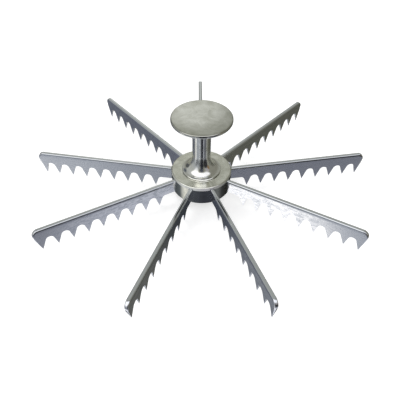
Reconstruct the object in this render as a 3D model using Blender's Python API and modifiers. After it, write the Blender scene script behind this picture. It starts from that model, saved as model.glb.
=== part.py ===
"""Pie marker: toothed blades let into the sockets of a turned hub, under a turned handle.

Pressed down on a pie or cake, the teeth mark equal portions. The hub is one turned piece with a flange
round its top. Its sockets are open only at the side, and notch the flange's lower edge. Each blade is a
wedge, thick along its top and sharp at the tips of its teeth, and its socket has the same wedge, so it
slides in from the side and can't drop out. The handle's foot stands on the hub, and a stud that doesn't
show screws into both. All but the stud is bare aluminium.

Metres, +Z up. The origin is the centre of the hub's flat underside, on the hub's axis. The tooth tips
are lower than that, and the marker stands on them.
"""

import math

import bmesh
import bpy
from mathutils import Matrix, Vector

# Fits and cuts
FIT_GAP = 0.0003  # left between a piece and its seat
CUT_OVERRUN = 0.002  # how far a cutter runs past what it cuts

# Hub
HUB_HEIGHT = 0.0145
HUB_BODY_RADIUS = 0.0201
FLANGE_RADIUS = 0.02125
FLANGE_THICKNESS = 0.0031
FLANGE_TOP_ROUND = 0.0006
FLANGE_LOWER_ROUND = 0.0004
HUB_LOWER_ROUND = 0.0004
SOCKET_END_RADIUS = 0.0090  # from the axis to a socket's inner end
SOCKET_ROOF = 0.0015  # metal left between a socket and the hub's top face
HUB_TAP_DEPTH = 0.0090
TAP_CHAMFER = 0.0005

# Blades
BLADE_COUNT = 9
FIRST_BLADE_DEG = 90.0
# How far each blade stands off its even bearing, counter-clockwise: the sockets were cut one at a time.
BLADE_OFF_DEG = (0.6, -0.1, 0.7, -0.5, 0.0, 0.7, 0.9, 0.0, -2.3)
BLADE_THICKNESS = 0.003175  # along the top, where it is thickest
TIP_THICKNESS = 0.0003
BLADE_HEIGHT = 0.0183  # tooth tips to top edge
BLADE_ROOT_HEIGHT = 0.0100  # top edge down to the straight lower edge at the hub
CROWN_WIDTH = 0.0012  # how far in from each side the top edge is crowned
CROWN_PROFILE = 0.65  # at a half the crown would be a plain quarter round, above that it is flatter on top
END_SLOPE_DEG = 17.5  # the blade's outer end, off vertical
END_CORNER_ROUND = 0.0044
# How far out each blade's upper outer corner stands from its even place: the ends were ground by hand.
END_CORNER_OFF = (-0.0015, -0.0009, -0.0011, 0.0010, 0.0010, -0.0011, -0.0005, -0.0013, -0.0015)
# The same for the tip of its last tooth.
LAST_TIP_OFF = (-0.0010, -0.0002, -0.0011, 0.0002, 0.0, -0.0003, -0.0004, -0.0009, -0.0003)

# Teeth
TOOTH_COUNT = 9
TOOTH_PITCH = 0.01065
TOOTH_HEIGHT = 0.0094
FIRST_TIP_RADIUS = 0.0342  # from the axis to the innermost tip
TIP_WIDTH = 0.0004
OUTER_FLANK_DEG = 17.0  # the flank that faces away from the hub, off vertical
INNER_FLANK_DEG = 19.0  # the flank that faces the hub, off vertical
OUTER_FLANK_ROUND = 0.0028  # where the outer flank runs into the gullet
INNER_FLANK_ROUND = 0.0027  # where the inner flank does

# Handle
HANDLE_HEIGHT = 0.0440
KNOB_RADIUS = 0.0206
KNOB_RIM_THICKNESS = 0.0024
KNOB_TOP_ROUND = 0.0009
KNOB_LOWER_ROUND = 0.0006
KNOB_NECK_DROP = 0.0012  # how much lower the knob's underside is at the stem than at the rim
KNOB_NECK_ROUND = 0.0025
STEM_RADIUS = 0.00635
FOOT_RADIUS = 0.0137
FOOT_RIM_HEIGHT = 0.0013
FOOT_RIM_ROUND = 0.0003
FOOT_COVE_HEIGHT = 0.0125
HANDLE_TAP_DEPTH = 0.0110

# Stud
STUD_RADIUS = 0.003175
STUD_CHAMFER = 0.0006

# Facets
HUB_STEPS = 80
HANDLE_STEPS = 64
STUD_STEPS = 32
SMALL_ARC_STEPS = 3
GULLET_ARC_STEPS = 4
CORNER_ARC_STEPS = 8
COVE_STEPS = 12
CROWN_SEGMENTS = 4
MERGE_DISTANCE = 0.00001


def clear_scene():
    """Removes every object and every collection of the open scene."""
    for thing in list(bpy.data.objects):
        bpy.data.objects.remove(thing, do_unlink=True)
    for group in list(bpy.data.collections):
        bpy.data.collections.remove(group)


def new_collection(name):
    """A collection of that name, linked to the scene."""
    group = bpy.data.collections.new(name)
    bpy.context.scene.collection.children.link(group)
    return group


def metal(name, colour, roughness):
    """A bare metal of one colour."""
    material = bpy.data.materials.new(name)
    material.use_nodes = True
    shader = material.node_tree.nodes["Principled BSDF"]
    shader.inputs["Base Color"].default_value = (*colour, 1.0)
    shader.inputs["Metallic"].default_value = 1.0
    shader.inputs["Roughness"].default_value = roughness
    return material


def arc_points(corner, before, after, radius, steps):
    """The points of the round that replaces a corner between the two points beside it."""
    corner, before, after = Vector(corner), Vector(before), Vector(after)
    back, on = (before - corner).normalized(), (after - corner).normalized()
    half = back.angle(on) / 2
    centre = corner + (back + on).normalized() * radius / math.sin(half)
    start = corner + back * radius / math.tan(half) - centre
    end = corner + on * radius / math.tan(half) - centre
    sweep = math.pi - 2 * half
    points = []
    for step in range(steps + 1):
        turn = sweep * step / steps
        spoke = (start * math.sin(sweep - turn) + end * math.sin(turn)) / math.sin(sweep)
        points.append(tuple(centre + spoke))
    return points


def rounded_outline(corners, closed):
    """The points of an outline whose corners are (x, y) or (x, y, radius, steps)."""
    points = []
    last = len(corners) - 1
    for index, corner in enumerate(corners):
        if len(corner) == 2 or (not closed and index in (0, last)):
            points.append(corner[:2])
            continue
        before = corners[index - 1][:2]
        after = corners[(index + 1) % len(corners)][:2]
        points += arc_points(corner[:2], before, after, corner[2], corner[3])
    return points


def turned(name, outline, steps, material, group):
    """A body turned about Z from the (radius, height) points of its half section."""
    mesh = bpy.data.meshes.new(name)
    edges = [(index, index + 1) for index in range(len(outline) - 1)]
    mesh.from_pydata([(radius, 0, height) for radius, height in outline], edges, [])
    mesh.materials.append(material)
    body = bpy.data.objects.new(name, mesh)
    group.objects.link(body)
    screw = body.modifiers.new("turn", "SCREW")
    screw.axis = "Z"
    screw.angle = math.tau
    screw.steps = steps
    screw.render_steps = steps
    screw.use_merge_vertices = True
    screw.merge_threshold = MERGE_DISTANCE
    screw.use_smooth_shade = True
    return body


def blade_width(height):
    """How thick a blade is at a height above the tooth tips."""
    return TIP_THICKNESS + (BLADE_THICKNESS - TIP_THICKNESS) * height / BLADE_HEIGHT


def socket_cutter(name, bearing, group):
    """The wedge-sided bar that clears one blade's socket, from below the blade up to the socket's roof."""
    inner, outer = SOCKET_END_RADIUS, FLANGE_RADIUS + CUT_OVERRUN
    low, high = blade_top() - BLADE_ROOT_HEIGHT - FIT_GAP, HUB_HEIGHT - SOCKET_ROOF
    tips = blade_top() - BLADE_HEIGHT
    size = Vector((outer - inner, BLADE_THICKNESS, high - low))
    middle = Vector(((inner + outer) / 2, 0, (low + high) / 2))
    shape = bmesh.new()
    bmesh.ops.create_cube(shape, size=1, matrix=Matrix.Translation(middle) @ Matrix.Diagonal(size).to_4x4())
    for corner in shape.verts:
        corner.co.y = math.copysign(blade_width(corner.co.z - tips) / 2 + FIT_GAP, corner.co.y)
    mesh = bpy.data.meshes.new(name)
    shape.to_mesh(mesh)
    shape.free()
    cutter = bpy.data.objects.new(name, mesh)
    cutter.rotation_euler.z = bearing
    cutter.hide_render = True
    cutter.display_type = "WIRE"
    group.objects.link(cutter)
    return cutter


def blade_bearings():
    """The direction of each blade from the hub's axis, in radians."""
    step = 360 / BLADE_COUNT
    return [
        math.radians(FIRST_BLADE_DEG + step * index + BLADE_OFF_DEG[index % len(BLADE_OFF_DEG)])
        for index in range(BLADE_COUNT)
    ]


def blade_top():
    """The height of the blades' top edges, up against the sockets' roofs."""
    return HUB_HEIGHT - SOCKET_ROOF - FIT_GAP


def make_hub(group, cutters, material):
    """The flanged hub, with a tapped blind hole in its top and a socket for each blade."""
    hole = STUD_RADIUS + FIT_GAP
    flange_under = HUB_HEIGHT - FLANGE_THICKNESS
    outline = rounded_outline(
        [
            (0, HUB_HEIGHT - HUB_TAP_DEPTH),
            (hole, HUB_HEIGHT - HUB_TAP_DEPTH),
            (hole, HUB_HEIGHT - TAP_CHAMFER),
            (hole + TAP_CHAMFER, HUB_HEIGHT),
            (FLANGE_RADIUS, HUB_HEIGHT, FLANGE_TOP_ROUND, SMALL_ARC_STEPS),
            (FLANGE_RADIUS, flange_under, FLANGE_LOWER_ROUND, SMALL_ARC_STEPS),
            (HUB_BODY_RADIUS, flange_under),
            (HUB_BODY_RADIUS, 0, HUB_LOWER_ROUND, SMALL_ARC_STEPS),
            (0, 0),
        ],
        closed=False,
    )
    hub = turned("hub", outline, HUB_STEPS, material, group)
    for number, bearing in enumerate(blade_bearings(), 1):
        socket_cutter(f"socket_{number}", bearing, cutters)
    cut = hub.modifiers.new("sockets", "BOOLEAN")
    cut.operation = "DIFFERENCE"
    cut.operand_type = "COLLECTION"
    cut.collection = cutters
    cut.solver = "EXACT"
    return hub


def blade_outline(corner_off, tip_off):
    """The (radius, height) outline of a blade, heights counted from the tooth tips.

    Its upper outer corner and its last tooth's tip stand that far out from their even places.
    """
    outer = math.tan(math.radians(OUTER_FLANK_DEG))
    inner = math.tan(math.radians(INNER_FLANK_DEG))
    half_tip = TIP_WIDTH / 2
    root = BLADE_HEIGHT - BLADE_ROOT_HEIGHT
    inner_end = SOCKET_END_RADIUS + FIT_GAP
    last_tip = FIRST_TIP_RADIUS + (TOOTH_COUNT - 1) * TOOTH_PITCH
    slope = math.tan(math.radians(END_SLOPE_DEG))
    corners = [
        (inner_end, BLADE_HEIGHT),
        (inner_end, root),
        (FIRST_TIP_RADIUS - half_tip - root * inner, root, INNER_FLANK_ROUND, GULLET_ARC_STEPS),
    ]
    for number in range(TOOTH_COUNT - 1):
        tip = FIRST_TIP_RADIUS + number * TOOTH_PITCH
        near = tip + half_tip + TOOTH_HEIGHT * outer
        far = tip + TOOTH_PITCH - half_tip - TOOTH_HEIGHT * inner
        corners += [
            (tip - half_tip, 0),
            (tip + half_tip, 0),
            (near, TOOTH_HEIGHT, OUTER_FLANK_ROUND, GULLET_ARC_STEPS),
            (far, TOOTH_HEIGHT, INNER_FLANK_ROUND, GULLET_ARC_STEPS),
        ]
    end_corner = last_tip + half_tip + BLADE_HEIGHT * slope + corner_off
    corners += [
        (last_tip + tip_off - half_tip, 0),
        (last_tip + tip_off + half_tip, 0),
        (end_corner, BLADE_HEIGHT, END_CORNER_ROUND, CORNER_ARC_STEPS),
    ]
    return rounded_outline(corners, closed=True)


def blade_mesh(name, outline, material):
    """The flat outline of a blade in X and Y, with a bevel weight along its top and its rounded corner.

    The face is split from the last gullet to the foot of the corner, so that the crown runs out there.
    """
    shape = bmesh.new()
    rim = [shape.verts.new((radius, height, 0)) for radius, height in outline]
    face = shape.faces.new(rim)
    corner_start = len(outline) - CORNER_ARC_STEPS - 1
    gullet = corner_start - 2 - (GULLET_ARC_STEPS + 1)
    bmesh.utils.face_split(face, rim[gullet], rim[corner_start])
    weight = shape.edges.layers.float.new("bevel_weight_edge")
    run = rim[corner_start:] + rim[:1]
    for start, end in zip(run, run[1:]):
        shape.edges.get((start, end))[weight] = 1.0
    mesh = bpy.data.meshes.new(name)
    shape.to_mesh(mesh)
    shape.free()
    mesh.materials.append(material)
    return mesh


def make_blades(group, material):
    """The blades, each standing on edge in its socket."""
    blades = []
    for index, bearing in enumerate(blade_bearings()):
        name = f"blade_{index + 1}"
        outline = blade_outline(
            END_CORNER_OFF[index % len(END_CORNER_OFF)], LAST_TIP_OFF[index % len(LAST_TIP_OFF)]
        )
        blade = bpy.data.objects.new(name, blade_mesh(name, outline, material))
        blade.location.z = blade_top() - BLADE_HEIGHT
        blade.rotation_euler = (math.pi / 2, 0, bearing)
        group.objects.link(blade)
        plate = blade.modifiers.new("plate", "SOLIDIFY")
        plate.thickness = TIP_THICKNESS
        plate.offset = 0
        wedge = blade.modifiers.new("wedge", "SIMPLE_DEFORM")
        wedge.deform_method = "TAPER"
        wedge.deform_axis = "Y"
        wedge.lock_x = True
        wedge.factor = BLADE_THICKNESS / TIP_THICKNESS - 1
        crown = blade.modifiers.new("crowned_top", "BEVEL")
        crown.limit_method = "WEIGHT"
        crown.width = CROWN_WIDTH
        crown.segments = CROWN_SEGMENTS
        crown.profile = CROWN_PROFILE
        crown.use_clamp_overlap = False
        blades.append(blade)
    return blades


def cove_points():
    """The hollow flare of the foot, a quarter ellipse from the stem down to the foot's rim."""
    width = FOOT_RADIUS - FOOT_RIM_ROUND - STEM_RADIUS
    points = []
    for step in range(COVE_STEPS + 1):
        angle = math.pi / 2 * step / COVE_STEPS
        radius = STEM_RADIUS + width * (1 - math.cos(angle))
        height = FOOT_RIM_HEIGHT + FOOT_COVE_HEIGHT * (1 - math.sin(angle))
        points.append((radius, height))
    return points


def make_handle(group, material):
    """The knob, stem and flared foot, turned in one piece, with a tapped blind hole in its foot."""
    hole = STUD_RADIUS + FIT_GAP
    under_rim = HANDLE_HEIGHT - KNOB_RIM_THICKNESS
    knob = rounded_outline(
        [
            (0, HANDLE_HEIGHT),
            (KNOB_RADIUS, HANDLE_HEIGHT, KNOB_TOP_ROUND, SMALL_ARC_STEPS + 1),
            (KNOB_RADIUS, under_rim, KNOB_LOWER_ROUND, SMALL_ARC_STEPS),
            (STEM_RADIUS, under_rim - KNOB_NECK_DROP, KNOB_NECK_ROUND, SMALL_ARC_STEPS + 1),
            (STEM_RADIUS, FOOT_RIM_HEIGHT + FOOT_COVE_HEIGHT),
        ],
        closed=False,
    )
    foot = [
        (FOOT_RADIUS, FOOT_RIM_HEIGHT - FOOT_RIM_ROUND),
        (FOOT_RADIUS, 0),
        (hole + TAP_CHAMFER, 0),
        (hole, TAP_CHAMFER),
        (hole, HANDLE_TAP_DEPTH),
        (0, HANDLE_TAP_DEPTH),
    ]
    handle = turned("handle", knob[:-1] + cove_points() + foot, HANDLE_STEPS, material, group)
    handle.location.z = HUB_HEIGHT + FIT_GAP
    return handle


def make_stud(group, material):
    """The stud that holds the handle down on the hub, out of sight in both tapped holes."""
    length = HUB_TAP_DEPTH + HANDLE_TAP_DEPTH - FIT_GAP
    outline = [
        (0, length),
        (STUD_RADIUS - STUD_CHAMFER, length),
        (STUD_RADIUS, length - STUD_CHAMFER),
        (STUD_RADIUS, STUD_CHAMFER),
        (STUD_RADIUS - STUD_CHAMFER, 0),
        (0, 0),
    ]
    stud = turned("handle_stud", outline, STUD_STEPS, material, group)
    stud.location.z = HUB_HEIGHT - HUB_TAP_DEPTH + FIT_GAP
    return stud


def main():
    """Builds the pie marker in an empty scene."""
    clear_scene()
    marker = new_collection("pie_marker")
    cutters = new_collection("cutters")
    cutters.hide_render = True
    turned_metal = metal("turned_aluminium", (0.72, 0.72, 0.67), 0.34)
    polished_metal = metal("polished_aluminium", (0.76, 0.76, 0.74), 0.22)
    cast_metal = metal("cast_aluminium", (0.66, 0.68, 0.71), 0.38)
    plated_steel = metal("plated_steel", (0.55, 0.55, 0.54), 0.40)
    pieces = [make_hub(marker, cutters, turned_metal)]
    pieces += make_blades(marker, cast_metal)
    pieces.append(make_handle(marker, polished_metal))
    pieces.append(make_stud(marker, plated_steel))
    axis = bpy.data.objects.new("pie_marker_axis", None)
    marker.objects.link(axis)
    for piece in pieces:
        piece.parent = axis


main()
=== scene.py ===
"""Dresses the pie marker: its turned handle and hub, its toothed blades and their finishes.

Lengths are in metres and in the part's own frame: +Z up through the handle, +Y along the blade that points
straight away from the camera. Each sub-assembly, each kind of finish and the studio is a class.
"""

import logging
import math
from collections.abc import Callable
from dataclasses import dataclass, field
from enum import Enum

import bmesh
import bpy
from mathutils import Matrix, Vector


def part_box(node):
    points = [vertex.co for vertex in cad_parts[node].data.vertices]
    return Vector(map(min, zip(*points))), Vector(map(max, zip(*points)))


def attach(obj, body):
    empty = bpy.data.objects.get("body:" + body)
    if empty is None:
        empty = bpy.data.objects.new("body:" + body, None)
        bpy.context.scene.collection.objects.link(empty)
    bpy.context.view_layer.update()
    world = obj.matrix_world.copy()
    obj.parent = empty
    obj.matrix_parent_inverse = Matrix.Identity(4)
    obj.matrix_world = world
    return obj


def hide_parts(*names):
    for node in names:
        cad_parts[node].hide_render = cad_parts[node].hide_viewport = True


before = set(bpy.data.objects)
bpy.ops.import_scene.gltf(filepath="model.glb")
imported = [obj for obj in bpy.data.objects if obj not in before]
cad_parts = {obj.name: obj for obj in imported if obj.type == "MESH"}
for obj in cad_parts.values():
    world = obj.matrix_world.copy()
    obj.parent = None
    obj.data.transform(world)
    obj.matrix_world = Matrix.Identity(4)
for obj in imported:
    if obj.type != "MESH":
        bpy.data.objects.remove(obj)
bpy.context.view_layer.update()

log = logging.getLogger("pie_marker")

MM = 0.001
BODY = "root"
SMOOTH_ANGLE = math.radians(28)
# How close a point has to be to a place to be picked there, and how far a face's normal has to point up or
# down for the face to count as level.
NEAR = 0.02 * MM
LEVEL = 0.5


class Lathe(Enum):
    """How a turned surface was left by the lathe, as its lowest and highest roughness."""

    SATIN = (0.16, 0.28)
    POLISHED = (0.08, 0.18)


def linear(hex_colour: str) -> tuple[float, float, float, float]:
    """Turns an sRGB hex colour linear.

    Args:
        hex_colour: Six hex digits after a hash sign.

    Returns:
        Red, green, blue and an alpha of 1.
    """
    colour = []
    for place in (1, 3, 5):
        level = int(hex_colour[place : place + 2], 16) / 255
        colour.append(level / 12.92 if level <= 0.04045 else ((level + 0.055) / 1.055) ** 2.4)
    return (*colour, 1.0)


def heading(bearing_deg: float, elevation_deg: float) -> Vector:
    """Gives the unit vector of a bearing, counter-clockwise from +X, and an elevation.

    Args:
        bearing_deg: Bearing seen from above, in degrees.
        elevation_deg: Angle above the horizon, in degrees.

    Returns:
        The unit vector.
    """
    bearing, elevation = math.radians(bearing_deg), math.radians(elevation_deg)
    level = math.cos(elevation)
    return Vector((level * math.cos(bearing), level * math.sin(bearing), math.sin(elevation)))


def add_node(
    tree: bpy.types.NodeTree, kind: str, settings: dict | None = None, feeds: dict | None = None
) -> bpy.types.Node:
    """Adds one shader node with its settings and what feeds its sockets.

    Args:
        tree: The node tree that gets it.
        kind: The node's type name, without the ShaderNode in front.
        settings: Attribute name to value.
        feeds: Input name or number to a value, or to the output socket that is linked there.

    Returns:
        The new node.
    """
    node = tree.nodes.new("ShaderNode" + kind)
    for name, value in (settings or {}).items():
        setattr(node, name, value)
    for name, value in (feeds or {}).items():
        if isinstance(value, bpy.types.NodeSocket):
            tree.links.new(value, node.inputs[name])
        else:
            node.inputs[name].default_value = value
    return node


def new_material(name: str) -> tuple[bpy.types.Material, bpy.types.NodeTree]:
    """Makes a material with an empty node tree.

    Args:
        name: The finish's name.

    Returns:
        The material and its tree.
    """
    material = bpy.data.materials.new(name)
    material.use_nodes = True
    material.node_tree.nodes.clear()
    return material, material.node_tree


def deselect_all() -> None:
    """Clears the selection, in object mode."""
    bpy.ops.object.select_all(action="DESELECT")


def faces_up(face: bmesh.types.BMFace) -> bool:
    """Says whether a face looks up."""
    return face.normal.z > LEVEL


def faces_down(face: bmesh.types.BMFace) -> bool:
    """Says whether a face looks down."""
    return face.normal.z < -LEVEL


class Workpiece:
    """One mesh on the bench: a primitive that is shaped in edit mode."""

    def __init__(self, name: str) -> None:
        """Takes over the object that was just added, and names it.

        Args:
            name: The piece's name.
        """
        self.body = bpy.context.object
        self.body.name = name
        self.body.data.name = name

    def focus(self) -> None:
        """Selects this piece alone and makes it the active one."""
        deselect_all()
        self.body.select_set(True)
        bpy.context.view_layer.objects.active = self.body

    def edit(self) -> None:
        """Goes to edit mode."""
        self.focus()
        bpy.ops.object.mode_set(mode="EDIT")

    def done(self) -> None:
        """Goes back to object mode."""
        bpy.ops.object.mode_set(mode="OBJECT")

    def pick(self, part: str, test: Callable[..., bool]) -> None:
        """Selects only the faces, edges or points that pass a test, in edit mode.

        Args:
            part: faces, edges or verts.
            test: Takes a bmesh element and says whether it is wanted.
        """
        bpy.ops.mesh.select_mode(type={"faces": "FACE", "edges": "EDGE", "verts": "VERT"}[part])
        bpy.ops.mesh.select_all(action="DESELECT")
        shape = bmesh.from_edit_mesh(self.body.data)
        for element in getattr(shape, part):
            if test(element):
                element.select_set(True)
        bmesh.update_edit_mesh(self.body.data)

    def ring(self, radius: float, height: float, new_radius: float, new_height: float) -> None:
        """Extrudes the picked end face of a turned body to its next ring.

        Args:
            radius: The face's radius.
            height: The face's height.
            new_radius: The next ring's radius.
            new_height: The next ring's height.
        """
        bpy.ops.mesh.extrude_region_move(TRANSFORM_OT_translate={"value": (0, 0, new_height - height)})
        share = new_radius / radius
        bpy.ops.transform.resize(value=(share, share, 1), center_override=(0, 0, new_height))

    def rings(self, start: tuple[float, float], outline: list[tuple[float, float]]) -> None:
        """Extrudes the picked end face from ring to ring along an outline.

        Args:
            start: The face's radius and height.
            outline: The radius and height of each ring that follows.
        """
        for place in outline:
            self.ring(*start, *place)
            start = place

    def bevel_ring(self, radius: float, height: float, width: float, segments: int) -> None:
        """Rounds the edge ring of a turned body that lies at a radius and a height.

        Args:
            radius: The ring's radius.
            height: The ring's height.
            width: How far the round reaches from the corner.
            segments: How many facets it gets.
        """

        def on_ring(edge: bmesh.types.BMEdge) -> bool:
            """Says whether both ends of an edge lie on the ring."""
            ends = [vert.co for vert in edge.verts]
            return all(abs(end.z - height) < NEAR and abs(end.to_2d().length - radius) < NEAR for end in ends)

        self.pick("edges", on_ring)
        bpy.ops.mesh.bevel(offset=width, offset_type="OFFSET", segments=segments, affect="EDGES")

    def modify(self, kind: str, **settings: object) -> None:
        """Adds a modifier with its settings and applies it.

        Args:
            kind: The modifier's type name.
            settings: Attribute name to value.
        """
        self.focus()
        modifier = self.body.modifiers.new(kind.lower(), kind)
        for name, value in settings.items():
            setattr(modifier, name, value)
        bpy.ops.object.modifier_apply(modifier=modifier.name)

    def smooth(self) -> None:
        """Shades it smooth up to its real corners, with flat faces kept flat."""
        self.focus()
        bpy.ops.object.shade_smooth_by_angle(angle=SMOOTH_ANGLE)
        self.modify("WEIGHTED_NORMAL", mode="FACE_AREA", weight=100, keep_sharp=True)

    def settle(self) -> None:
        """Puts its place into its mesh, so that the object sits at the origin."""
        self.focus()
        bpy.ops.object.transform_apply(location=True, rotation=True, scale=True)

    def dress(self, material: bpy.types.Material, slot: str, node: str) -> None:
        """Gives it its finish and its body, and hides the CAD node that it stands for.

        Args:
            material: The finish of the whole piece.
            slot: Not used.
            node: The CAD node that it replaces.
        """
        self.body.data.materials.clear()
        self.body.data.materials.append(material)
        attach(self.body, BODY)
        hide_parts(node)
        log.info("%s: %d faces", self.body.name, len(self.body.data.polygons))


@dataclass(frozen=True)
class TurnedFinish:
    """Bare metal from the lathe: faint rings, and clouds where hands and cloths have dulled it."""

    name: str
    lathe: Lathe
    bright: str
    dull: str
    cloud_mm: float = 9.0
    ring_mm: float = 0.9
    ring_depth_mm: float = 0.0012
    # Painted sheen and painted shade, as on the knob's top: the middle of the bright place, its reach, the
    # share of the reach that is fully bright, the height that the painted shade sets in from and over, and the
    # shade's tint.
    painted_sheen_middle_mm: tuple[float, float, float] = (0.0, 0.0, 0.0)
    painted_sheen_reach_mm: float = 0.0
    painted_sheen_core: float = 0.3
    painted_sheen_from_mm: float = 0.0
    painted_sheen_blend_mm: float = 0.5
    painted_shade_tint: str = "#ffffff"

    def material(self) -> bpy.types.Material:
        """Builds the material on the piece's Object coordinates.

        Returns:
            The material.
        """
        material, tree = new_material(self.name)
        place = add_node(tree, "TexCoord").outputs["Object"]
        # The rings follow the radius on flat faces and the height on walls, as a lathe tool's feed does. The
        # real feed, about 0.1 mm, is too fine to show, so they are drawn wider.
        axes = add_node(tree, "SeparateXYZ", feeds={0: place})
        flat = add_node(tree, "CombineXYZ", feeds={0: axes.outputs[0], 1: axes.outputs[1]})
        radius = add_node(tree, "VectorMath", {"operation": "LENGTH"}, {0: flat.outputs[0]})
        along = add_node(
            tree, "Math", {"operation": "ADD"}, {0: radius.outputs["Value"], 1: axes.outputs[2]}
        )
        feed = add_node(tree, "CombineXYZ", feeds={0: along.outputs[0]})
        fine = {"Scale": 1 / (self.ring_mm * MM), "Detail": 2.0, "Roughness": 0.6}
        ring = add_node(tree, "TexNoise", feeds={"Vector": feed.outputs[0], **fine})
        # The clouds change the colour and the polish together: a dull place is also a rougher one.
        soft = {"Scale": 1 / (self.cloud_mm * MM), "Detail": 4.0, "Roughness": 0.62, "Distortion": 0.6}
        cloud = add_node(tree, "TexNoise", feeds={"Vector": place, **soft})
        spread = add_node(
            tree, "MapRange", feeds={"Value": cloud.outputs["Fac"], "From Min": 0.34, "From Max": 0.66}
        ).outputs[0]
        dull, bright = linear(self.dull), linear(self.bright)
        tint = add_node(tree, "MixRGB", feeds={"Fac": spread, "Color1": dull, "Color2": bright}).outputs[0]
        # The top gets painted shade towards its edge, round a brighter painted sheen in its middle.
        if self.painted_sheen_reach_mm:
            tint = self.painted_sheen(tree, place, axes.outputs[2], tint)
        low, high = self.lathe.value
        rough = add_node(tree, "MapRange", feeds={"Value": spread, "To Min": high, "To Max": low})
        depth = self.ring_depth_mm * MM
        bump = add_node(tree, "Bump", feeds={"Height": ring.outputs["Fac"], "Distance": depth})
        look = {"Base Color": tint, "Roughness": rough.outputs[0], "Normal": bump.outputs[0]}
        shader = add_node(tree, "BsdfPrincipled", feeds={"Metallic": 1.0, **look})
        add_node(tree, "OutputMaterial", feeds={"Surface": shader.outputs[0]})
        return material

    def painted_sheen(
        self,
        tree: bpy.types.NodeTree,
        place: bpy.types.NodeSocket,
        height: bpy.types.NodeSocket,
        tint: bpy.types.NodeSocket,
    ) -> bpy.types.NodeSocket:
        """Paints shade on the top outside a brighter middle: painted shade round a painted sheen.

        Args:
            tree: The material's tree.
            place: The Object coordinates.
            height: The height part of them.
            tint: The colour so far.

        Returns:
            The new colour.
        """
        middle, reach = [part * MM for part in self.painted_sheen_middle_mm], self.painted_sheen_reach_mm * MM
        away = add_node(tree, "VectorMath", {"operation": "DISTANCE"}, {0: place, 1: middle})
        fade = {"Value": away.outputs["Value"], "From Min": self.painted_sheen_core * reach, "From Max": reach}
        far = add_node(tree, "MapRange", {"interpolation_type": "SMOOTHSTEP"}, fade)
        low, high = self.painted_sheen_from_mm * MM, (self.painted_sheen_from_mm + self.painted_sheen_blend_mm) * MM
        on_top = add_node(tree, "MapRange", feeds={"Value": height, "From Min": low, "From Max": high})
        share = add_node(tree, "Math", {"operation": "MULTIPLY"}, {0: far.outputs[0], 1: on_top.outputs[0]})
        painted_shading = {"Fac": share.outputs[0], "Color1": tint, "Color2": linear(self.painted_shade_tint)}
        return add_node(tree, "MixRGB", {"blend_type": "MULTIPLY"}, painted_shading).outputs[0]


@dataclass(frozen=True)
class CastFinish:
    """Cast aluminium polished by hand: cloudy grey faces over a slightly uneven skin, and buffed tops."""

    name: str
    bright: str
    dull: str
    buffed: str
    cloud_mm: float = 5.5
    # The clouds are this much longer along the blade than down it, because the cloth was drawn along it.
    cloud_draw: float = 2.2
    fleck_mm: float = 0.7
    fleck_share: float = 0.27
    skin_depth_mm: float = 0.024
    low_roughness: float = 0.11
    high_roughness: float = 0.27
    buffed_roughness: float = 0.07
    buffed_skin: float = 0.15
    buffed_above_mm: float = 11.3
    buffed_blend_mm: float = 0.3

    def material(self) -> bpy.types.Material:
        """Builds the material on the piece's Object coordinates.

        Returns:
            The material.
        """
        material, tree = new_material(self.name)
        place = add_node(tree, "TexCoord").outputs["Object"]
        drawn = add_node(tree, "Mapping", feeds={"Vector": place, "Scale": (1.0, 1.0, self.cloud_draw)})
        soft = {"Scale": 1 / (self.cloud_mm * MM), "Detail": 4.0, "Roughness": 0.65, "Distortion": 0.8}
        cloud = add_node(tree, "TexNoise", feeds={"Vector": drawn.outputs[0], **soft})
        # The flecks are the pores and scratches that the polish left. They are drawn coarser than real ones.
        fine = {"Scale": 1 / (self.fleck_mm * MM), "Detail": 2.0, "Roughness": 0.6}
        fleck = add_node(tree, "TexNoise", feeds={"Vector": place, **fine})
        mixed = {0: self.fleck_share, 2: cloud.outputs["Fac"], 3: fleck.outputs["Fac"]}
        both = add_node(tree, "Mix", {"data_type": "FLOAT"}, mixed).outputs[0]
        spread = add_node(
            tree, "MapRange", feeds={"Value": both, "From Min": 0.36, "From Max": 0.57}
        ).outputs[0]
        dull, bright = linear(self.dull), linear(self.bright)
        tint = add_node(tree, "MixRGB", feeds={"Fac": spread, "Color1": dull, "Color2": bright}).outputs[0]
        ends = {"To Min": self.high_roughness, "To Max": self.low_roughness}
        rough = add_node(tree, "MapRange", feeds={"Value": spread, **ends}).outputs[0]
        # The crowned tops were buffed bright, so the mottled skin fades out on the way up to them.
        height = add_node(tree, "SeparateXYZ", feeds={0: place}).outputs[2]
        low, high = self.buffed_above_mm * MM, (self.buffed_above_mm + self.buffed_blend_mm) * MM
        top = {"Value": height, "From Min": low, "From Max": high}
        buffed = add_node(tree, "MapRange", feeds=top).outputs[0]
        rough = add_node(tree, "Mix", {"data_type": "FLOAT"}, {0: buffed, 2: rough, 3: self.buffed_roughness})
        tint = add_node(tree, "MixRGB", feeds={"Fac": buffed, "Color1": tint, "Color2": linear(self.buffed)})
        skin = add_node(tree, "MapRange", feeds={"Value": buffed, "To Min": 1.0, "To Max": self.buffed_skin})
        uneven = {"Height": both, "Distance": self.skin_depth_mm * MM, "Strength": skin.outputs[0]}
        bump = add_node(tree, "Bump", feeds=uneven)
        look = {"Base Color": tint.outputs[0], "Roughness": rough.outputs[0], "Normal": bump.outputs[0]}
        shader = add_node(tree, "BsdfPrincipled", feeds={"Metallic": 1.0, **look})
        add_node(tree, "OutputMaterial", feeds={"Surface": shader.outputs[0]})
        return material


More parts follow.
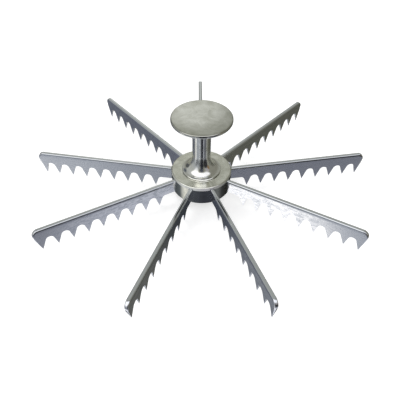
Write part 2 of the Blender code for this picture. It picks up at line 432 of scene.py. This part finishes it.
@dataclass
class Handle:
    """The flat knob, its stem and its flared foot, turned in one piece."""

    node: str = "handle"
    sides: int = 192
    rim: float = 2.4 * MM
    dome: float = 0.12 * MM
    dome_steps: int = 9
    top_round: float = 0.95 * MM
    lower_round: float = 0.6 * MM
    neck_drop: float = 1.2 * MM
    neck_round: float = 2.5 * MM
    stem_radius: float = 6.35 * MM
    foot_radius: float = 13.7 * MM
    foot_rim: float = 0.8 * MM
    foot_chamfer: float = 0.2 * MM
    cove_width: float = 7.05 * MM
    cove_height: float = 12.5 * MM
    cove_foot: float = 1.15 * MM
    cove_turn_deg: float = 72.0
    cove_steps: int = 24
    skirt_steps: int = 5
    tap_radius: float = 3.475 * MM
    tap_depth: float = 11.0 * MM
    # The CAD's knob measures a little under the photo's, so this one is turned larger by this much.
    knob_growth: float = 0.3 * MM
    top_facets: int = 8
    lower_facets: int = 6
    neck_facets: int = 10
    low: float = field(init=False)
    high: float = field(init=False)
    knob_radius: float = field(init=False)

    def __post_init__(self) -> None:
        """Reads the handle's height and radius from the frame."""
        low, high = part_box(self.node)
        self.low, self.high = low.z, high.z
        self.knob_radius = high.x + self.knob_growth

    def domed_top(self) -> list[tuple[float, float]]:
        """Works out the knob's slightly domed top, from near its edge to its centre.

        Returns:
            The radius and height of each ring.
        """
        rings = []
        for step in range(1, self.dome_steps + 1):
            share = 1 - step / (self.dome_steps + 0.5)
            rings.append((self.knob_radius * share, self.high - self.dome * share * share))
        return rings

    def cove(self) -> list[tuple[float, float]]:
        """Works out the foot's hollow flare: part of a quarter ellipse, then a skirt that flattens out.

        Returns:
            The radius and height of each ring, downwards.
        """
        rings = []
        for step in range(self.cove_steps + 1):
            angle = math.radians(self.cove_turn_deg) * step / self.cove_steps
            height = self.low + self.cove_foot + self.cove_height * (1 - math.sin(angle))
            rings.append((self.stem_radius + self.cove_width * (1 - math.cos(angle)), height))
        radius, height = rings[-1]
        end_radius, end_height = self.foot_radius - self.foot_chamfer, self.low + self.foot_rim
        slope = self.cove_height / self.cove_width / math.tan(angle)
        for step in range(1, self.skirt_steps + 1):
            share = step / self.skirt_steps
            # A curve that leaves the flare at its own slope and comes down to the rim.
            run = (end_radius - radius) * share
            fall = slope * run * (1 - share) + (height - end_height) * share * share
            rings.append((radius + run, height - fall))
        return rings

    def build(self) -> Workpiece:
        """Turns the handle: a disc whose lower face is drawn down through the stem to the tapped hole.

        Returns:
            The handle.
        """
        under, edge = self.high - self.rim, self.high - self.dome
        bpy.ops.mesh.primitive_cylinder_add(
            vertices=self.sides,
            radius=self.knob_radius,
            depth=edge - under,
            end_fill_type="NGON",
            location=(0, 0, (edge + under) / 2),
        )
        piece = Workpiece("handle_turned")
        piece.settle()
        piece.edit()
        piece.pick("faces", faces_up)
        piece.rings((self.knob_radius, edge), self.domed_top())
        piece.pick("faces", faces_down)
        neck = under - self.neck_drop
        foot = [(self.foot_radius, self.low + self.foot_rim - self.foot_chamfer), (self.foot_radius, self.low)]
        tap = [(self.tap_radius, self.low), (self.tap_radius, self.low + self.tap_depth)]
        piece.rings((self.knob_radius, under), [(self.stem_radius, neck), *self.cove(), *foot, *tap])
        piece.bevel_ring(self.knob_radius, edge, self.top_round, self.top_facets)
        piece.bevel_ring(self.knob_radius, under, self.lower_round, self.lower_facets)
        piece.bevel_ring(self.stem_radius, neck, self.neck_round, self.neck_facets)
        piece.done()
        piece.smooth()
        return piece


@dataclass
class Hub:
    """The turned puck with a flange round its top and a socket for each blade."""

    bearings: list[float]
    blade_top: float
    blade_root: float
    node: str = "hub"
    sides: int = 192
    # The wall stands where the photo shows it, 0.9 mm further out than the CAD's.
    body_radius: float = 21.0 * MM
    flange: float = 3.1 * MM
    top_round: float = 1.0 * MM
    lower_round: float = 0.5 * MM
    socket_end: float = 9.0 * MM
    gap: float = 0.03 * MM
    overrun: float = 2.0 * MM
    tap_radius: float = 3.475 * MM
    tap_depth: float = 9.0 * MM
    top_facets: int = 6
    lower_facets: int = 5
    low: float = field(init=False)
    high: float = field(init=False)
    flange_radius: float = field(init=False)

    def __post_init__(self) -> None:
        """Reads the hub's height and the flange's radius from the frame."""
        low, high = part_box(self.node)
        self.low, self.high, self.flange_radius = low.z, high.z, high.x

    def cutter(self, bearing: float, low_width: float, high_width: float) -> bpy.types.Object:
        """Makes the wedge-sided bar that clears one socket.

        Args:
            bearing: The blade's bearing, in radians.
            low_width: The socket's width at its floor.
            high_width: The socket's width at its roof.

        Returns:
            The cutter.
        """
        outer = self.flange_radius + self.overrun
        low, high = self.blade_root - self.gap, self.blade_top + self.gap
        middle = Vector(((self.socket_end + outer) / 2, 0, (low + high) / 2))
        bpy.ops.mesh.primitive_cube_add(size=1, location=middle)
        piece = Workpiece("socket_cutter")
        piece.body.scale = (outer - self.socket_end, high_width, high - low)
        piece.settle()
        piece.edit()
        piece.pick("faces", faces_down)
        bpy.ops.transform.resize(value=(1, low_width / high_width, 1), center_override=(0, 0, low))
        piece.done()
        piece.body.data.transform(Matrix.Rotation(bearing, 4, "Z"))
        return piece.body

    def build(self, width_at: Callable[[float], float]) -> Workpiece:
        """Turns the hub and cuts its sockets.

        Args:
            width_at: Takes a height and gives a blade's thickness there.

        Returns:
            The hub.
        """
        under = self.high - self.flange
        bpy.ops.mesh.primitive_cylinder_add(
            vertices=self.sides,
            radius=self.flange_radius,
            depth=self.flange,
            end_fill_type="NGON",
            location=(0, 0, self.high - self.flange / 2),
        )
        piece = Workpiece("hub_turned")
        piece.settle()
        piece.edit()
        piece.pick("faces", faces_down)
        piece.rings((self.flange_radius, under), [(self.body_radius, under), (self.body_radius, self.low)])
        piece.pick("faces", lambda face: faces_up(face) and face.calc_center_median().z > under)
        tap = [(self.tap_radius, self.high), (self.tap_radius, self.high - self.tap_depth)]
        piece.rings((self.flange_radius, self.high), tap)
        piece.bevel_ring(self.flange_radius, self.high, self.top_round, self.top_facets)
        piece.bevel_ring(self.flange_radius, under, self.lower_round, self.lower_facets)
        piece.bevel_ring(self.body_radius, self.low, self.lower_round, self.lower_facets)
        piece.done()
        low_width = width_at(self.blade_root) + 2 * self.gap
        high_width = width_at(self.blade_top) + 2 * self.gap
        for bearing in self.bearings:
            cutter = self.cutter(bearing, low_width, high_width)
            piece.modify("BOOLEAN", operation="DIFFERENCE", solver="EXACT", object=cutter)
            bpy.data.objects.remove(cutter)
        piece.smooth()
        return piece


@dataclass
class Blades:
    """The toothed wedge blades. They are alike, so one is modelled and copied to each bearing."""

    names: list[str]
    thickness: float = 3.175 * MM
    tip_thickness: float = 0.3 * MM
    root_height: float = 8.3 * MM
    inner_end: float = 9.3 * MM
    # The crown's width from the side, its roundness, how many times taller than wide it is, and the share of
    # its width that is left where it runs out at the foot of the outer corner.
    crown: float = 1.35 * MM
    crown_profile: float = 0.66
    crown_stretch: float = 2.05
    crown_at_foot: float = 0.75
    end_slope_deg: float = 17.5
    end_round: float = 4.4 * MM
    # How far outwards each blade's upper corner and its last tooth's tip stand from their even places.
    corner_off_mm: tuple[float, ...] = (-1.5, -0.9, -1.15, 0.6, 0.55, -1.1, -0.5, -1.3, -1.5)
    tip_off_mm: tuple[float, ...] = (-1.0, -0.2, -1.1, 0.2, 0.0, -0.3, -0.4, -0.9, -0.3)
    teeth: int = 9
    pitch: float = 10.65 * MM
    tooth_height: float = 9.4 * MM
    first_tip: float = 34.2 * MM
    tip_width: float = 0.4 * MM
    outer_flank_deg: float = 17.0
    inner_flank_deg: float = 19.0
    outer_round: float = 2.8 * MM
    inner_round: float = 2.7 * MM
    gullet_steps: int = 9
    corner_steps: int = 16
    crown_segments: int = 8
    broken_edge: float = 0.1 * MM
    low: float = field(init=False)
    height: float = field(init=False)

    def __post_init__(self) -> None:
        """Reads the blades' height and place from the frame."""
        low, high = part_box(self.names[0])
        self.low = low.z
        self.height = high.z - low.z

    def bearing(self, name: str) -> float:
        """Reads a blade's bearing from its CAD node, whose points lie evenly about its mid-plane.

        Args:
            name: The blade's node.

        Returns:
            The bearing, in radians.
        """
        points = {vert.co.to_tuple(7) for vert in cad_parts[name].data.vertices}
        return math.atan2(sum(y for _, y, _ in points), sum(x for x, _, _ in points))

    def width_at(self, height: float) -> float:
        """Gives the blade's thickness at a height in the row frame."""
        share = (height - self.low) / self.height
        return self.tip_thickness + (self.thickness - self.tip_thickness) * share

    def rounded(
        self, corner: Vector, before: Vector, after: Vector, radius: float, steps: int
    ) -> list[Vector]:
        """Works out the round that replaces a corner of the outline.

        Args:
            corner: The corner.
            before: The point before it.
            after: The point after it.
            radius: The round's radius.
            steps: How many chords it gets.

        Returns:
            The points, from the side of the point before.
        """
        back, on = (before - corner).normalized(), (after - corner).normalized()
        half = back.angle(on) / 2
        centre = corner + (back + on).normalized() * radius / math.sin(half)
        first = (corner + back * radius / math.tan(half) - centre).normalized()
        last = (corner + on * radius / math.tan(half) - centre).normalized()
        return [centre + radius * first.slerp(last, step / steps) for step in range(steps + 1)]

    def outline(self) -> list[Vector]:
        """Works out the blade's outline, with the radius along X and the height above the tips along Y.

        Returns:
            The points, from the top of the inner end down it and outwards along the teeth.
        """
        outer = math.tan(math.radians(self.outer_flank_deg))
        inner = math.tan(math.radians(self.inner_flank_deg))
        half_tip = self.tip_width / 2
        # Each corner is given by its place, the radius of its round and the round's chords.
        root = self.first_tip - half_tip - self.root_height * inner
        corners = [
            (self.inner_end, self.height, 0, 0),
            (self.inner_end, self.root_height, 0, 0),
            (root, self.root_height, self.inner_round, self.gullet_steps),
        ]
        for number in range(self.teeth):
            tip = self.first_tip + number * self.pitch
            corners += [(tip - half_tip, 0, 0, 0), (tip + half_tip, 0, 0, 0)]
            if number < self.teeth - 1:
                near = tip + half_tip + self.tooth_height * outer
                far = tip + self.pitch - half_tip - self.tooth_height * inner
                corners.append((near, self.tooth_height, self.outer_round, self.gullet_steps))
                corners.append((far, self.tooth_height, self.inner_round, self.gullet_steps))
        end = tip + half_tip + self.height * math.tan(math.radians(self.end_slope_deg))
        corners.append((end, self.height, self.end_round, self.corner_steps))
        places = [Vector((x, y, 0)) for x, y, _, _ in corners]
        points = []
        for index, (_, _, radius, steps) in enumerate(corners):
            before, corner, after = places[index - 1], places[index], places[(index + 1) % len(places)]
            points += self.rounded(corner, before, after, radius, steps) if radius else [corner]
        return points

    def draw(self) -> Workpiece:
        """Draws the outline point by point from one corner, fills it and marks the edges of the crown.

        Returns:
            The flat blade.
        """
        outline = self.outline()
        bpy.ops.mesh.primitive_plane_add(size=self.tip_width, location=outline[0])
        piece = Workpiece("blade_pattern")
        piece.settle()
        piece.edit()
        bpy.ops.mesh.select_all(action="SELECT")
        bpy.ops.mesh.merge(type="CENTER")
        for start, end in zip(outline, outline[1:]):
            bpy.ops.mesh.extrude_vertices_move(TRANSFORM_OT_translate={"value": end - start})
        bpy.ops.mesh.select_all(action="SELECT")
        bpy.ops.mesh.edge_face_add()
        first = len(outline) - self.corner_steps - 1
        foot, gullet = outline[first], outline[first - 3 - self.gullet_steps]
        # The face is split from the last gullet to the foot of the corner, so that the crown runs out there.
        piece.pick("verts", lambda vert: min((vert.co - foot).length, (vert.co - gullet).length) < NEAR)
        bpy.ops.mesh.vert_connect()
        crown = outline[first:] + outline[:1]
        # The crown narrows down the rounded corner with the blade's thickness.
        for step, (start, end) in enumerate(zip(crown, crown[1:])):
            twice = start + end
            piece.pick("edges", lambda edge: (edge.verts[0].co + edge.verts[1].co - twice).length < 2 * NEAR)
            share = min(step / self.corner_steps, 1.0)
            bpy.ops.transform.edge_bevelweight(value=self.crown_at_foot + (1 - self.crown_at_foot) * share)
        piece.done()
        return piece

    def stretch(self, piece: Workpiece, share: float) -> None:
        """Scales the blade's height. A crown bevelled between two such scalings is taller than it is wide.

        Args:
            piece: The blade.
            share: What its height is multiplied by.
        """
        piece.edit()
        bpy.ops.mesh.select_all(action="SELECT")
        bpy.ops.transform.resize(value=(1, share, 1), center_override=(0, 0, 0))
        bpy.ops.mesh.normals_make_consistent(inside=False)
        piece.done()

    def break_edges(self, piece: Workpiece) -> None:
        """Takes the sharpness off the toothed edge with a small flat, as a file does.

        Args:
            piece: The blade.
        """

        def is_toothed(edge: bmesh.types.BMEdge) -> bool:
            """Says whether an edge lies along the teeth, between a side of the blade and its lower edge.

            Args:
                edge: An edge of the blade.

            Returns:
                Whether it does.
            """
            low = all(vert.co.y < self.tooth_height + self.broken_edge for vert in edge.verts)
            out = all(vert.co.x > self.first_tip - self.pitch / 2 for vert in edge.verts)
            sides = [abs(face.normal.z) > LEVEL for face in edge.link_faces]
            return low and out and any(sides) and not all(sides)

        piece.edit()
        piece.pick("edges", is_toothed)
        bpy.ops.mesh.bevel(offset=self.broken_edge, segments=1, affect="EDGES", clamp_overlap=True)
        piece.done()

    def build(self) -> list[Workpiece]:
        """Models one blade and copies it to each bearing, each copy with its own mesh.

        Returns:
            The blades, in the order of their names.
        """
        pattern = self.draw()
        pattern.modify("SOLIDIFY", thickness=self.tip_thickness, offset=0)
        wedge = self.thickness / self.tip_thickness - 1
        pattern.modify("SIMPLE_DEFORM", deform_method="TAPER", deform_axis="Y", lock_x=True, factor=wedge)
        self.stretch(pattern, 1 / self.crown_stretch)
        pattern.modify(
            "BEVEL",
            limit_method="WEIGHT",
            width=self.crown,
            segments=self.crown_segments,
            profile=self.crown_profile,
            use_clamp_overlap=False,
        )
        self.stretch(pattern, self.crown_stretch)
        self.break_edges(pattern)
        last_tip = self.first_tip + (self.teeth - 1) * self.pitch
        tip_from = last_tip - self.tip_width
        pieces = []
        for name, corner_off, tip_off in zip(self.names, self.corner_off_mm, self.tip_off_mm):
            deselect_all()
            copy = pattern.body.copy()
            copy.data = pattern.body.data.copy()
            bpy.context.scene.collection.objects.link(copy)
            bpy.context.view_layer.objects.active = copy
            piece = Workpiece("toothed_" + name)
            # The ends were ground by hand, so each copy's last tip and corner are moved to their own places.
            piece.edit()
            piece.pick("verts", lambda vert: vert.co.x > tip_from and vert.co.y < self.tip_width)
            bpy.ops.transform.translate(value=(tip_off * MM, 0, 0))
            piece.pick("verts", lambda vert: vert.co.x > last_tip and vert.co.y > self.tooth_height)
            bpy.ops.transform.translate(value=(corner_off * MM, 0, 0))
            piece.done()
            piece.smooth()
            piece.body.location.z = self.low
            piece.body.rotation_euler = (math.pi / 2, 0, self.bearing(name))
            piece.settle()
            pieces.append(piece)
        bpy.data.objects.remove(pattern.body)
        return pieces


@dataclass
class Stud:
    """The stud inside the joint. Its CAD shape is right as it is, so it only gets its finish."""

    node: str = "handle_stud"

    def dress(self, material: bpy.types.Material) -> None:
        """Gives the CAD node its finish.

        Args:
            material: The finish of the whole piece.
        """
        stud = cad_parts[self.node]
        stud.data.materials.clear()
        stud.data.materials.append(material)
        log.info("%s: %d faces", stud.name, len(stud.data.polygons))


@dataclass
class FittedCamera:
    """The camera at the photograph's viewing angle, found by fitting measured outlines."""

    distance: float = 416.1 * MM
    elevation_deg: float = 43.57
    azimuth_deg: float = -0.22
    roll_deg: float = 0.54
    aim_drop: float = 16.5 * MM
    focal_px: float = 553.7
    centre_x_px: float = 201.1
    frame_px: float = 400.0
    sensor_mm: float = 36.0

    def build(self) -> None:
        """Makes the camera and hands it to the scene."""
        azimuth, elevation = math.radians(self.azimuth_deg), math.radians(self.elevation_deg)
        level = math.cos(elevation)
        back = Vector((math.sin(azimuth) * level, -math.cos(azimuth) * level, math.sin(elevation)))
        side = (-back).cross(Vector((0, 0, 1))).normalized()
        rise = side.cross(-back)
        roll = math.radians(self.roll_deg)
        right = math.cos(roll) * side + math.sin(roll) * rise
        up = math.cos(roll) * rise - math.sin(roll) * side
        view = Matrix((right, up, back)).transposed().to_4x4()
        view.translation = back * self.distance - Vector((0, 0, self.aim_drop))
        data = bpy.data.cameras.new("photo_camera")
        data.sensor_width = self.sensor_mm
        data.lens = self.focal_px * self.sensor_mm / self.frame_px
        data.shift_x = (self.frame_px / 2 - self.centre_x_px) / self.frame_px
        camera = bpy.data.objects.new("photo_camera", data)
        camera.matrix_world = view
        bpy.context.scene.collection.objects.link(camera)
        bpy.context.scene.camera = camera


@dataclass(frozen=True)
class Glow:
    """One soft patch of light or shade that the metal sees, by bearing, elevation and angular reach."""

    bearing_deg: float
    elevation_deg: float
    core_deg: float
    reach_deg: float
    colour: str
    strength: float = 1.0


@dataclass
class Studio:
    """The white floor, the white room, one soft lamp, and the tent that the metal mirrors.

    Bare metal shows what stands round it, so the tent was worked back from what each surface shows in the
    photo: a pale ceiling, a dark gap at the lens and olive-grey walls, over ground that is lit unevenly. The
    tent's lower half stands in for that ground, so the floor itself is hidden from mirror rays.
    """

    hub: Hub
    floor_height: float
    floor_size: float = 8.0
    floor_colour: str = "#d9d9d9"
    floor_lift: float = 0.54
    room_strength: float = 0.9
    lamp_energy: float = 5.0
    lamp_size: float = 0.9
    lamp_bearing_deg: float = 140.0
    lamp_elevation_deg: float = 62.0
    lamp_distance: float = 1.6
    tent_radius: float = 4.0
    tent_colour: str = "#85857c"
    # Each patch is laid over those before it. The camera stands at bearing 270.
    glows: tuple[Glow, ...] = (
        # The ceiling behind the marker, which the level tops mirror, with a lamp's light on it.
        Glow(92, 44, 18, 46, "#a8aaa5"),
        Glow(97, 32, 4, 14, "#c9cbc5"),
        # The wall on the left, the open ground before it, and the dark ground behind the marker, which metal
        # that is seen nearly edge-on mirrors.
        Glow(190, 22, 38, 56, "#b0b2b0"),
        Glow(236, -52, 27, 78, "#a2a7af"),
        Glow(90, -42, 14, 32, "#3a3c3e"),
        # A white card low on the left, which turns the face of blade_7 white, and the ground that it lights.
        Glow(200, -58, 15, 19, "#ffffff", 1.12),
        Glow(192, -41, 4, 13, "#e4e4e2"),
        # The wall on the right over its dark foot, which draws the line under the crowns' bright band.
        Glow(320, 10, 4, 24, "#a5a3a8"),
        Glow(312, -19, 16, 28, "#2e2f32"),
        # The ground in front on the right, darker further out, for blade_8 and blade_4.
        Glow(304, -47, 10, 17, "#6f727b"),
        Glow(332, -62, 10, 17, "#b8bcc6"),
        # The ground behind on the right, for blade_5 and blade_9.
        Glow(31, -35, 11, 40, "#56574f"),
        Glow(58, -45, 7, 17, "#33373c"),
        Glow(50, -64, 7, 16, "#5c5d5a"),
        # The ground behind on the left, for blade_6 and blade_2.
        Glow(153, -40, 18, 28, "#646872"),
        Glow(123, -45, 6, 16, "#3f444d"),
        Glow(136, -63, 8, 16, "#7a7e85"),
        # The bright wall in front on the left, and the greyer ground between it and the camera.
        Glow(225, 18, 6, 22, "#eceef4"),
        Glow(217, -22, 8, 18, "#75787e"),
        Glow(252, -20, 8, 20, "#6c6f75"),
        Glow(248, -46, 4, 12, "#8c9199"),
        # The lit ceiling over the camera and on both its sides, for the foot, the rounds and the crowns.
        Glow(265, 62, 18, 34, "#f6f6fc", 1.4),
        Glow(311, 50, 10, 30, "#eeeff5", 1.3),
        Glow(219, 43, 18, 32, "#ffffff", 1.3),
        # The camera, the gap that it looks through and the ground in its shade, then the pale ground below.
        Glow(272, 16, 7, 21, "#4c505d"),
        Glow(274, -8, 11, 20, "#24252d"),
        Glow(276, -30, 10, 18, "#26282f"),
        Glow(272, -82, 14, 24, "#e6e8f0"),
        # Narrow streaks in the stem: something warm on the right and two seams of the tent on the left.
        Glow(336, 0, 1, 14, "#80684a"),
        Glow(134, 36, 4, 11, "#555b66"),
        Glow(134, 2, 8, 20, "#515456"),
    )
    # Two collars stand in for the shaded ground close to the hub and for the lighter ground further out. Only
    # rays that leave the hub's side or its flange's edge see them.
    collar_room: float = 0.7 * MM
    collar_drop: float = 4.0 * MM
    ground_by_side: tuple[tuple[float, str], ...] = (
        (90.0, "#4d4e48"),
        (204.0, "#42474b"),
        (223.0, "#5a6066"),
        (236.0, "#ebebe8"),
        (241.0, "#e3e3e3"),
        (252.0, "#4c505a"),
        (275.0, "#34363f"),
        (290.0, "#3c3f49"),
        (303.0, "#6c6f73"),
        (315.0, "#36373a"),
        (332.0, "#20211d"),
    )
    ground_by_flange: tuple[tuple[float, str], ...] = (
        (90.0, "#85857c"),
        (202.0, "#a6a8a7"),
        (248.0, "#d9dce4"),
        (276.0, "#b6b5c2"),
        (322.0, "#7c7d79"),
    )

    def only_mirrored(self, surface: bpy.types.Object) -> None:
        """Leaves a surface to be seen only in mirror reflections.

        Args:
            surface: The tent or a collar.
        """
        surface.visible_camera = False
        surface.visible_diffuse = False
        surface.visible_transmission = False
        surface.visible_volume_scatter = False
        surface.visible_shadow = False

    def floor(self) -> None:
        """Lays the white floor under the tooth tips. It is lifted to white and keeps the marker's shadow."""
        bpy.ops.mesh.primitive_plane_add(size=self.floor_size, location=(0, 0, self.floor_height))
        floor = Workpiece("white_floor").body
        material, tree = new_material("matt_white_card")
        card = add_node(tree, "BsdfDiffuse", feeds={"Color": linear(self.floor_colour)})
        path = add_node(tree, "LightPath")
        seen = path.outputs["Is Camera Ray"]
        for other in ("Is Glossy Ray", "Is Transmission Ray"):
            either = {0: seen, 1: path.outputs[other]}
            seen = add_node(tree, "Math", {"operation": "MAXIMUM"}, either).outputs[0]
        lift = add_node(tree, "Math", {"operation": "MULTIPLY"}, {0: seen, 1: self.floor_lift})
        glow = add_node(tree, "Emission", feeds={"Color": linear("#ffffff"), "Strength": lift.outputs[0]})
        both = add_node(tree, "AddShader", feeds={0: card.outputs[0], 1: glow.outputs[0]})
        add_node(tree, "OutputMaterial", feeds={"Surface": both.outputs[0]})
        floor.data.materials.append(material)
        floor.visible_glossy = False

    def tent(self) -> None:
        """Hangs the tent: a sphere of soft patches, seen only in the metal."""
        bpy.ops.mesh.primitive_uv_sphere_add(segments=48, ring_count=24, radius=self.tent_radius)
        tent = Workpiece("light_tent").body
        material, tree = new_material("tent_cloth")
        place = add_node(tree, "TexCoord").outputs["Object"]
        aim = add_node(tree, "VectorMath", {"operation": "NORMALIZE"}, {0: place}).outputs[0]
        colour = linear(self.tent_colour)
        for glow in self.glows:
            toward = heading(glow.bearing_deg, glow.elevation_deg)
            nearness = add_node(tree, "VectorMath", {"operation": "DOT_PRODUCT"}, {0: aim, 1: toward})
            edge, core = math.cos(math.radians(glow.reach_deg)), math.cos(math.radians(glow.core_deg))
            fade = {"Value": nearness.outputs["Value"], "From Min": edge, "From Max": core}
            share = add_node(tree, "MapRange", {"interpolation_type": "SMOOTHSTEP"}, fade)
            light = [glow.strength * level for level in linear(glow.colour)]
            laid = {"Fac": share.outputs[0], "Color1": colour, "Color2": light}
            colour = add_node(tree, "MixRGB", feeds=laid).outputs[0]
        light = add_node(tree, "Emission", feeds={"Color": colour, "Strength": 1.0})
        add_node(tree, "OutputMaterial", feeds={"Surface": light.outputs[0]})
        tent.data.materials.append(material)
        self.only_mirrored(tent)

    def collar(
        self, name: str, radius: float, low: float, high: float, ground: tuple[tuple[float, str], ...]
    ) -> None:
        """Stands a collar round the hub. It is seen only in mirror reflections, and only from inside.

        Args:
            name: The collar's name.
            radius: Its radius.
            low: The height of its lower end.
            high: The height of its upper end.
            ground: Bearing and colour of the ground that it stands in for.
        """
        bpy.ops.mesh.primitive_cylinder_add(
            vertices=96,
            radius=radius,
            depth=high - low,
            end_fill_type="NOTHING",
            location=(0, 0, (low + high) / 2),
        )
        collar = Workpiece(name)
        collar.settle()
        material, tree = new_material(name + "_glow")
        place = add_node(tree, "TexCoord").outputs["Object"]
        turn = add_node(tree, "TexGradient", {"gradient_type": "RADIAL"}, {"Vector": place})
        ramp = add_node(tree, "ValToRGB", feeds={"Fac": turn.outputs["Fac"]})
        stops = sorted(((bearing / 360 + 0.5) % 1.0, grey) for bearing, grey in ground)
        elements = ramp.color_ramp.elements
        while len(elements) < len(stops):
            elements.new(1.0)
        for element, (share, grey) in zip(elements, stops):
            element.position = share
            element.color = linear(grey)
        glow = add_node(tree, "Emission", feeds={"Color": ramp.outputs[0], "Strength": 1.0})
        clear = add_node(tree, "BsdfTransparent")
        inside = add_node(tree, "NewGeometry").outputs["Backfacing"]
        mix = add_node(tree, "MixShader", feeds={0: inside, 1: clear.outputs[0], 2: glow.outputs[0]})
        add_node(tree, "OutputMaterial", feeds={"Surface": mix.outputs[0]})
        collar.body.data.materials.append(material)
        self.only_mirrored(collar.body)

    def lamps(self) -> None:
        """Sets the white room and one soft lamp, up on the left behind the marker."""
        world = bpy.data.worlds.new("white_room")
        bpy.context.scene.world = world
        world.use_nodes = True
        background = world.node_tree.nodes["Background"]
        background.inputs["Color"].default_value = linear("#ffffff")
        background.inputs["Strength"].default_value = self.room_strength
        data = bpy.data.lights.new("soft_lamp", "AREA")
        data.shape = "DISK"
        data.size = self.lamp_size
        data.energy = self.lamp_energy
        lamp = bpy.data.objects.new("soft_lamp", data)
        toward = heading(self.lamp_bearing_deg, self.lamp_elevation_deg)
        lamp.location = toward * self.lamp_distance
        lamp.rotation_euler = toward.to_track_quat("Z", "Y").to_euler()
        lamp.visible_glossy = False
        bpy.context.scene.collection.objects.link(lamp)

    def build(self) -> None:
        """Builds the whole studio."""
        self.floor()
        self.tent()
        hub, room = self.hub, self.collar_room
        low, under = hub.low - self.collar_drop, hub.high - hub.flange
        self.collar("side_collar", hub.body_radius + room, low, under, self.ground_by_side)
        self.collar("flange_collar", hub.flange_radius + room, under, hub.high, self.ground_by_flange)
        self.lamps()
        bpy.context.scene.view_settings.view_transform = "Standard"


def main() -> None:
    """Builds and dresses the pie marker, then the studio round it."""
    logging.basicConfig(level=logging.INFO, format="%(name)s: %(message)s")
    deselect_all()
    # The lathe's fine feed is left on the hub, so its highlights are broad and soft, on a faintly warm grey.
    satin = TurnedFinish("satin_turned_aluminium", Lathe.SATIN, "#f8f8ef", "#d9d9ce").material()
    # The handle was buffed after turning, so its stem mirrors the room in sharp upright streaks. The knob's
    # top has painted shade towards its edge and front, round a painted sheen in its middle.
    polished = TurnedFinish(
        "polished_turned_aluminium",
        Lathe.POLISHED,
        "#fdfdfa",
        "#dfdfd8",
        # Painted shade on the knob's top, darkest at its front edge, round a painted sheen in the middle.
        painted_sheen_middle_mm=(-2.0, 6.0, 58.8),
        painted_sheen_reach_mm=27.0,
        painted_sheen_from_mm=57.6,
        painted_shade_tint="#cbcbc6",
    ).material()
    # Bright zinc plate over turned steel is smooth and a little darker and warmer than the aluminium.
    plated = TurnedFinish("bright_plated_steel", Lathe.SATIN, "#cfcecb", "#b4b3af", ring_mm=0.6).material()
    # The blades were cast and then polished by hand, which leaves soft grey clouds and a few small flecks on
    # their faces, and a brighter, smoother metal along their tops.
    cast = CastFinish("hand_polished_cast_aluminium", "#fdfdff", "#dfe2e8", "#e2e5e9").material()

    blades = Blades(sorted(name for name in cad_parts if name.startswith("blade_")))
    for piece, node in zip(blades.build(), blades.names):
        piece.dress(cast, "cast_aluminium", node)

    hub = Hub(
        bearings=[blades.bearing(name) for name in blades.names],
        blade_top=blades.low + blades.height,
        blade_root=blades.low + blades.root_height,
    )
    hub.build(blades.width_at).dress(satin, "turned_aluminium", hub.node)

    handle = Handle()
    handle.build().dress(polished, "polished_aluminium", handle.node)
    Stud().dress(plated)

    FittedCamera().build()
    Studio(hub, floor_height=blades.low).build()


if __name__ == "__main__":
    main()
